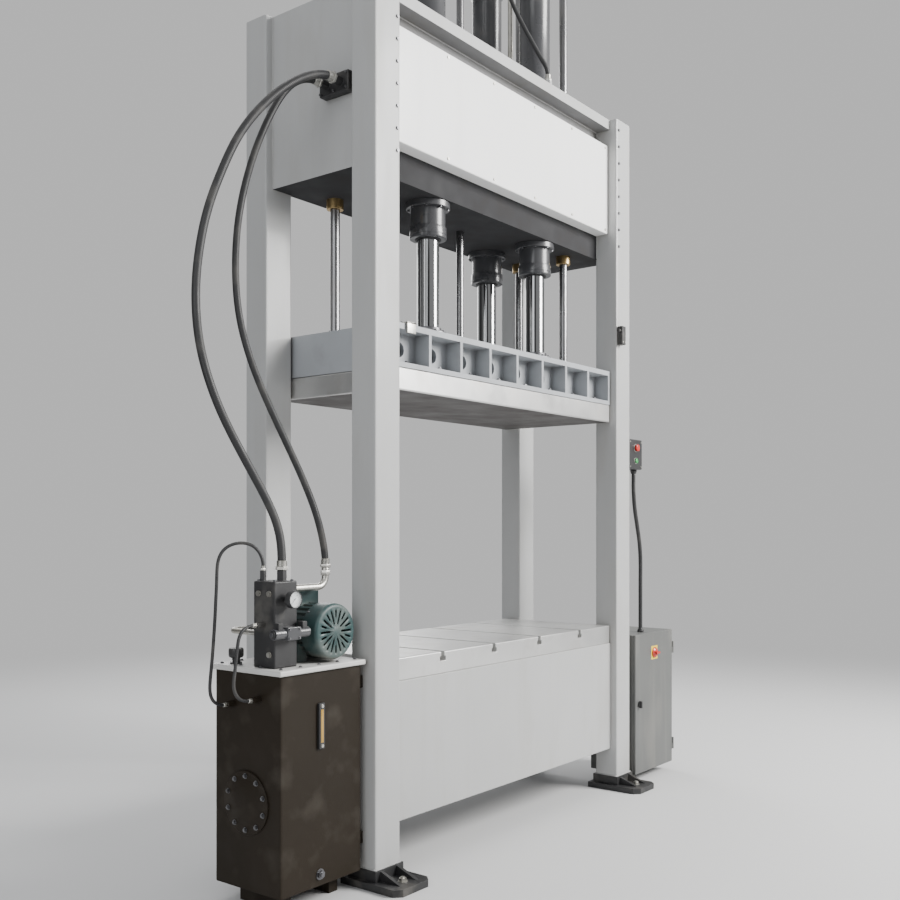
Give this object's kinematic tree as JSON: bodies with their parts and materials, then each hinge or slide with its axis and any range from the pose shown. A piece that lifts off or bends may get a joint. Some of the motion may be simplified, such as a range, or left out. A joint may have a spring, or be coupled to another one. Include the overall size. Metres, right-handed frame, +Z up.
{
  "type": "hydraulic press",
  "caption": "Straight-sided four-post hydraulic press with two rows of cylinders, a guided platen, a side power unit with looping hoses and a control cabinet.",
  "frame": {"origin": "on the floor at the middle between the four posts", "axes": "+Z up, -Y towards the operator at the front, +X towards the control cabinet"},
  "size_m": [3.339, 1.1, 4.744],
  "materials": {
    "frame_paint": "satin",
    "cover_paint": "satin",
    "crown_paint": "satin",
    "black_paint": "satin",
    "barrel_paint": "satin",
    "platen_paint": "satin",
    "ground_steel": "satin",
    "chrome": "gloss",
    "bronze": "satin",
    "tank_paint": "satin",
    "lid_paint": "satin",
    "motor_paint": "satin",
    "zinc": "satin",
    "rubber": "matte",
    "cabinet_paint": "satin",
    "black_plastic": "matte",
    "red_plastic": "gloss",
    "green_plastic": "gloss",
    "dial_white": "gloss"
  },
  "bodies": {
    "frame": {"post_front_left": "frame_paint", "foot_front_left": "black_paint", "cylinder_front_left": "barrel_paint", "guide_bush_front_left": "bronze", "post_front_right": "frame_paint", "foot_front_right": "black_paint", "cylinder_front_right": "barrel_paint", "guide_bush_front_right": "bronze", "post_rear_left": "frame_paint", "foot_rear_left": "black_paint", "cylinder_rear_left": "barrel_paint", "guide_bush_rear_left": "bronze", "post_rear_right": "frame_paint", "foot_rear_right": "black_paint", "cylinder_rear_right": "barrel_paint", "guide_bush_rear_right": "bronze", "bed_beam": "frame_paint", "bolster_plate": "ground_steel", "crown_beam": "crown_paint", "crown_cover": "cover_paint", "cap_pipe_left": "zinc", "cap_pipe_right": "zinc", "hose_port_block": "black_paint", "position_sensor": "black_plastic", "oil_tank": "tank_paint", "tank_lid": "lid_paint", "motor": "motor_paint", "fan_cover": "motor_paint", "pump": "barrel_paint", "pump_pipe": "zinc", "valve_manifold": "black_paint", "solenoid_valve": "barrel_paint", "pressure_gauge": "dial_white", "transfer_pipe": "zinc", "cabinet": "cabinet_paint", "switch_box": "black_plastic", "conduit": "black_plastic", "main_hose_outer": "rubber", "main_hose_inner": "rubber", "pilot_hose_outer": "rubber", "pilot_hose_inner": "rubber", "jumper_hose": "rubber"},
    "platen": {"platen_beam": "platen_paint", "die_plate": "ground_steel", "ram_front_left": "chrome", "guide_rod_front_left": "ground_steel", "ram_front_right": "chrome", "guide_rod_front_right": "ground_steel", "ram_rear_left": "chrome", "guide_rod_rear_left": "ground_steel", "ram_rear_right": "chrome", "guide_rod_rear_right": "ground_steel", "centre_rod": "ground_steel"},
    "motor_rotor": {"motor_rotor": "black_plastic"},
    "gauge_needle": {"gauge_needle": "black_plastic"},
    "cabinet_door": {"cabinet_door": "cabinet_paint"},
    "door_latch": {"door_latch": "black_plastic"},
    "main_switch": {"main_switch": "red_plastic"},
    "stop_button": {"stop_button": "red_plastic"},
    "start_button": {"start_button": "green_plastic"}
  },
  "joints": [
    {"name": "platen_slide", "type": "slide", "parent": "frame", "child": "platen", "axis": [0, 0, 1], "range_m": [-0.85, 0.35]},
    {"name": "motor_spin", "type": "hinge", "parent": "frame", "child": "motor_rotor", "pos_m": [-1.265, -0.291, 1.0716], "axis": [0, 1, 0], "continuous": true},
    {"name": "gauge_needle_turn", "type": "hinge", "parent": "frame", "child": "gauge_needle", "pos_m": [-1.5, -0.34, 1.2126], "axis": [0, 1, 0], "range_deg": [0, 270], "stiffness_Nm_per_rad": 0.001},
    {"name": "cabinet_door_hinge", "type": "hinge", "parent": "frame", "child": "cabinet_door", "pos_m": [1.613, -0.4183, 0.455], "axis": [0, 0, 1], "range_deg": [0, 110]},
    {"name": "door_latch_turn", "type": "hinge", "parent": "cabinet_door", "child": "door_latch", "pos_m": [1.17, -0.4186, 0.455], "axis": [0, 1, 0], "range_deg": [0, 90]},
    {"name": "main_switch_turn", "type": "hinge", "parent": "cabinet_door", "child": "main_switch", "pos_m": [1.368, -0.4186, 0.74], "axis": [0, 1, 0], "range_deg": [0, 90]},
    {"name": "stop_travel", "type": "slide", "parent": "frame", "child": "stop_button", "axis": [0, 1, 0], "range_m": [0, 0.006], "stiffness_N_per_m": 400},
    {"name": "start_travel", "type": "slide", "parent": "frame", "child": "start_button", "axis": [0, 1, 0], "range_m": [0, 0.004], "stiffness_N_per_m": 300}
  ]
}
